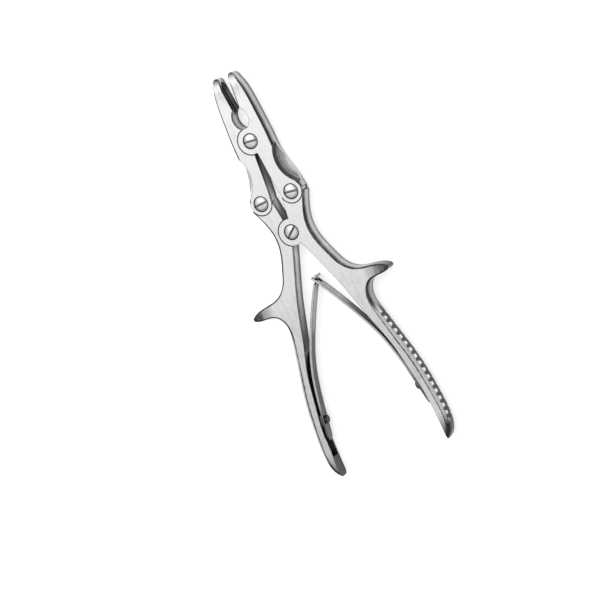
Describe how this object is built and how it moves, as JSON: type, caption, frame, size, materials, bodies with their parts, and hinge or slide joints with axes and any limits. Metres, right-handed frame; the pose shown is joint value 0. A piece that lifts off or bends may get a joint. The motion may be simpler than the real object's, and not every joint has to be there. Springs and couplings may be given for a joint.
{
  "type": "bone rongeur",
  "caption": "Double-action surgical plier with cupped biting jaws, a four-bar pivot linkage, horned grooved handles and hooked leaf springs.",
  "frame": {"origin": "on the axis of the handle pivot, in the plane the instrument lies on", "axes": "+Y towards the jaw tips, +X towards the right-hand limb, +Z towards the screw heads"},
  "size_m": [0.0888, 0.2304, 0.0093],
  "materials": {
    "satin_steel": "satin brushed faces, polished edges",
    "screw_steel": "bright turned heads",
    "spring_steel": "polished spring leaf"
  },
  "bodies": {
    "right_handle": {"right_handle": "satin_steel", "right_link_screw": "screw_steel", "right_spring_screw": "screw_steel"},
    "left_handle": {"left_handle": "satin_steel", "handle_pivot_screw": "screw_steel", "left_link_screw": "screw_steel", "left_spring_screw": "screw_steel"},
    "right_jaw": {"right_jaw": "satin_steel"},
    "left_jaw": {"left_jaw": "satin_steel", "jaw_pivot_screw": "screw_steel"},
    "right_leaf_spring": {"right_leaf_spring": "spring_steel"},
    "left_leaf_spring": {"left_leaf_spring": "spring_steel"}
  },
  "joints": [
    {"name": "handle_squeeze", "type": "hinge", "parent": "right_handle", "child": "left_handle", "pos_m": [0, 0, 0.0045], "axis": [0, 0, 1], "range_deg": [0, 16.4], "stiffness_Nm_per_rad": 3, "springref_deg": -1.15},
    {"name": "right_link_pivot", "type": "hinge", "parent": "right_handle", "child": "right_jaw", "pos_m": [0.0099, 0.02065, 0.0045], "axis": [0, 0, 1], "range_deg": [0, 13.4]},
    {"name": "jaw_pivot", "type": "hinge", "parent": "right_jaw", "child": "left_jaw", "pos_m": [0, 0.05443, 0.0045], "axis": [0, 0, 1], "range_deg": [-10.2, 0]},
    {"name": "right_spring_flex", "type": "hinge", "parent": "right_handle", "child": "right_leaf_spring", "pos_m": [0.0312, -0.104, 0.0045], "axis": [0, 0, 1], "range_deg": [-3.4, 0]},
    {"name": "left_spring_flex", "type": "hinge", "parent": "left_handle", "child": "left_leaf_spring", "pos_m": [-0.0312, -0.104, 0.0045], "axis": [0, 0, 1], "range_deg": [0, 3.4]}
  ],
  "couplings": [
    {"joint": "right_link_pivot", "follows": "handle_squeeze", "ratio": 0.802},
    {"joint": "jaw_pivot", "follows": "handle_squeeze", "ratio": -0.604},
    {"joint": "right_spring_flex", "follows": "handle_squeeze", "ratio": -0.189},
    {"joint": "left_spring_flex", "follows": "handle_squeeze", "ratio": 0.189}
  ]
}
